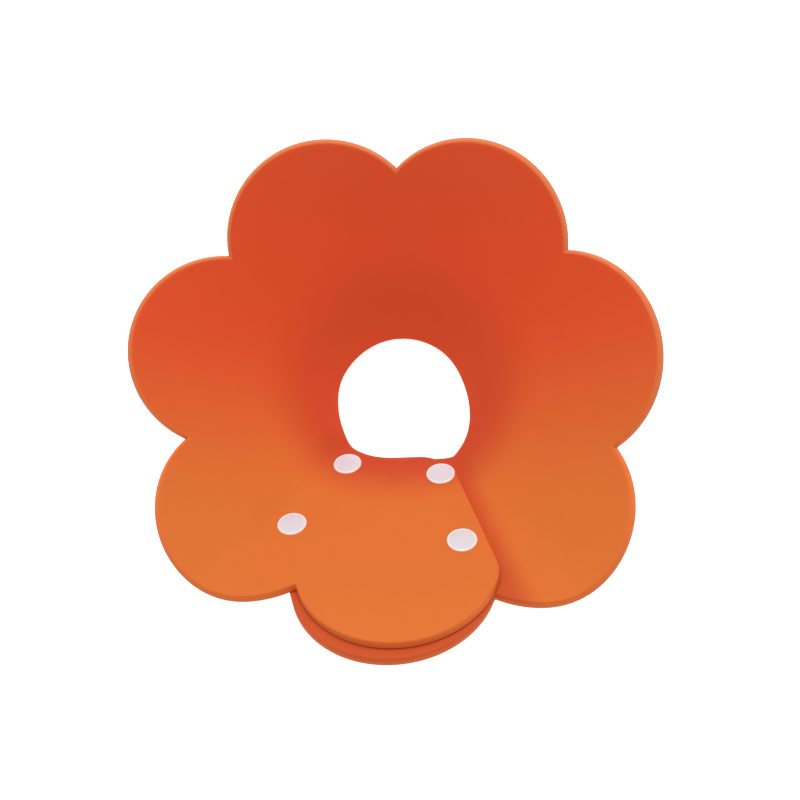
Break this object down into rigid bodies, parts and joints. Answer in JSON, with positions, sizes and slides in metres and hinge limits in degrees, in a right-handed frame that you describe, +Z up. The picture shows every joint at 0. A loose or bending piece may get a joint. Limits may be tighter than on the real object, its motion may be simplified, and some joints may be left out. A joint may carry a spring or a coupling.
{
  "type": "elizabethan collar",
  "caption": "Soft foam recovery collar for a cat or small dog: flower-shaped petals wrapped into a funnel and closed with press snaps.",
  "frame": {"origin": "middle of the collar's footprint, on the surface that its neck ring stands on", "axes": "+Z up, from the neck ring to the petals; the overlap and its snaps are on the -Y side, and +X is to the right when looking down into the funnel with the overlap at the bottom"},
  "size_m": [0.2578, 0.2496, 0.0999],
  "materials": {
    "foam": "matte closed-cell foam, bright orange",
    "snap_plastic": "white moulded plastic, slightly glossy"
  },
  "bodies": {
    "back_petals": {"left_petal": "foam", "top_left_petal": "foam", "top_right_petal": "foam", "right_petal": "foam"},
    "left_front": {"left_front_petal": "foam", "left_outer_face_cap": "snap_plastic", "left_outer_socket": "snap_plastic", "left_inner_face_cap": "snap_plastic", "left_inner_socket": "snap_plastic"},
    "closing": {"closing_petal": "foam", "right_outer_face_cap": "snap_plastic", "right_outer_socket": "snap_plastic", "right_inner_face_cap": "snap_plastic", "right_inner_socket": "snap_plastic"},
    "right_front": {"right_front_petal": "foam", "right_outer_stud": "snap_plastic", "right_outer_back_cap": "snap_plastic", "right_inner_stud": "snap_plastic", "right_inner_back_cap": "snap_plastic"},
    "tucked": {"tucked_petal": "foam", "left_outer_stud": "snap_plastic", "left_outer_back_cap": "snap_plastic", "left_inner_stud": "snap_plastic", "left_inner_back_cap": "snap_plastic"}
  },
  "joints": [
    {"name": "left_front_swing", "type": "hinge", "parent": "back_petals", "child": "left_front", "pos_m": [-0.00034, -0.00125, -0.0228], "axis": [-0.7707, -0.1558, 0.6179], "range_deg": [0, 50], "stiffness_Nm_per_rad": 0.15},
    {"name": "closing_petal_peel", "type": "hinge", "parent": "left_front", "child": "closing", "pos_m": [-0.01614, -0.02819, 0.00919], "axis": [-0.3302, -0.6482, 0.6862], "range_deg": [0, 95], "stiffness_Nm_per_rad": 0.1},
    {"name": "right_front_swing", "type": "hinge", "parent": "back_petals", "child": "right_front", "pos_m": [0.00271, -0.00211, -0.02757], "axis": [0.765, -0.1814, 0.6179], "range_deg": [0, 45], "stiffness_Nm_per_rad": 0.15},
    {"name": "tucked_petal_peel", "type": "hinge", "parent": "right_front", "child": "tucked", "pos_m": [0.00736, -0.03884, 0.00533], "axis": [0, -0.6867, 0.7269], "range_deg": [0, 60], "stiffness_Nm_per_rad": 0.1}
  ]
}
